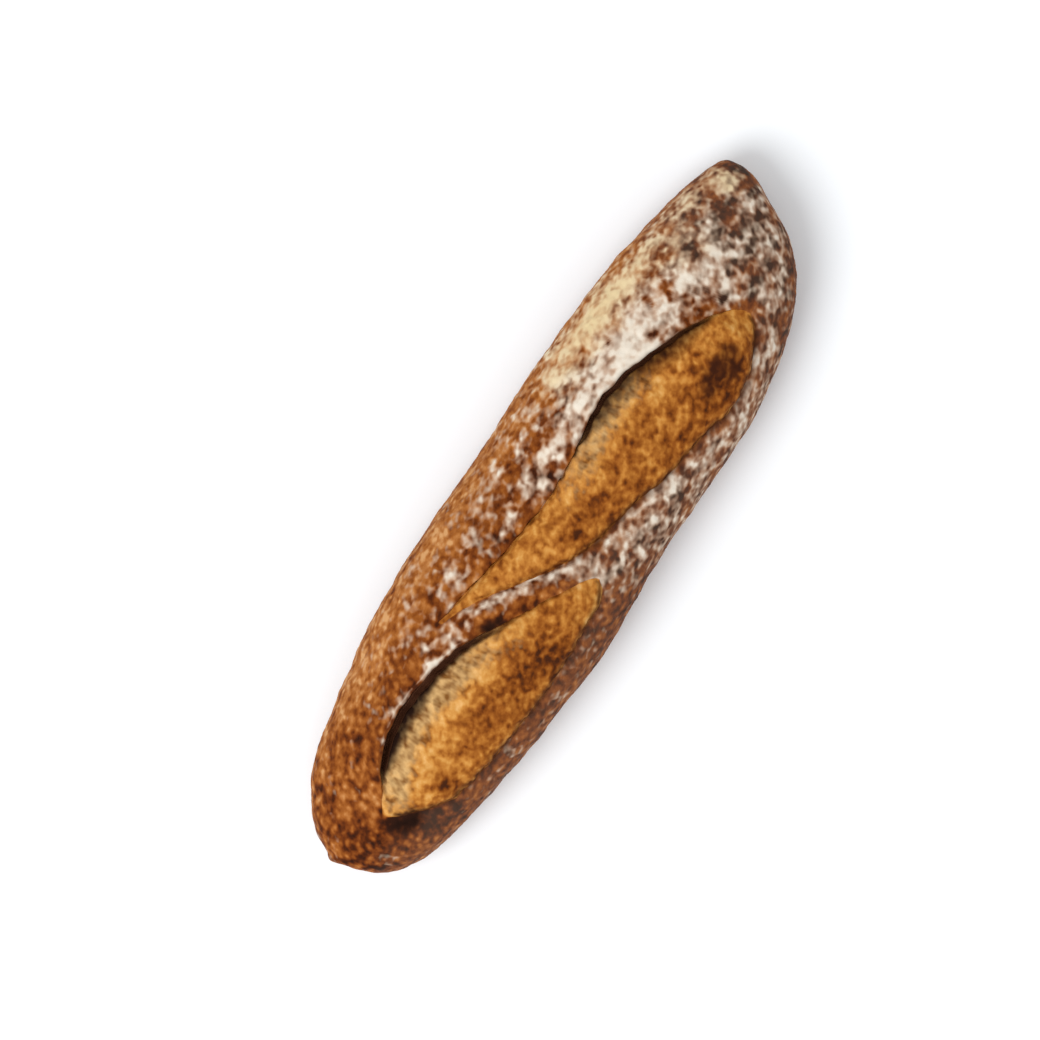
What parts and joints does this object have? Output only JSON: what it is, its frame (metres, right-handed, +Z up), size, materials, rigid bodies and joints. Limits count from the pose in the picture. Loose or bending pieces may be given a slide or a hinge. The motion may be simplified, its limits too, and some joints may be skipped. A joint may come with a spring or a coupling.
{
  "type": "demi baguette",
  "caption": "Short slashed bread loaf with lifted ears, swollen blooms along the cuts, pointed ends and a flat base to rest on.",
  "frame": {"origin": "middle of the flat base, on the surface that the loaf rests on", "axes": "+X along the loaf towards its floured pointed end, +Y towards the side on which the ears stand, +Z up out of the crust"},
  "size_m": [0.25, 0.0671, 0.0455],
  "materials": {
    "crust": "baked crust, golden to dark brown, dry and matte, dusted with flour"
  },
  "bodies": {
    "root": {"baguette": "crust"}
  },
  "joints": []
}
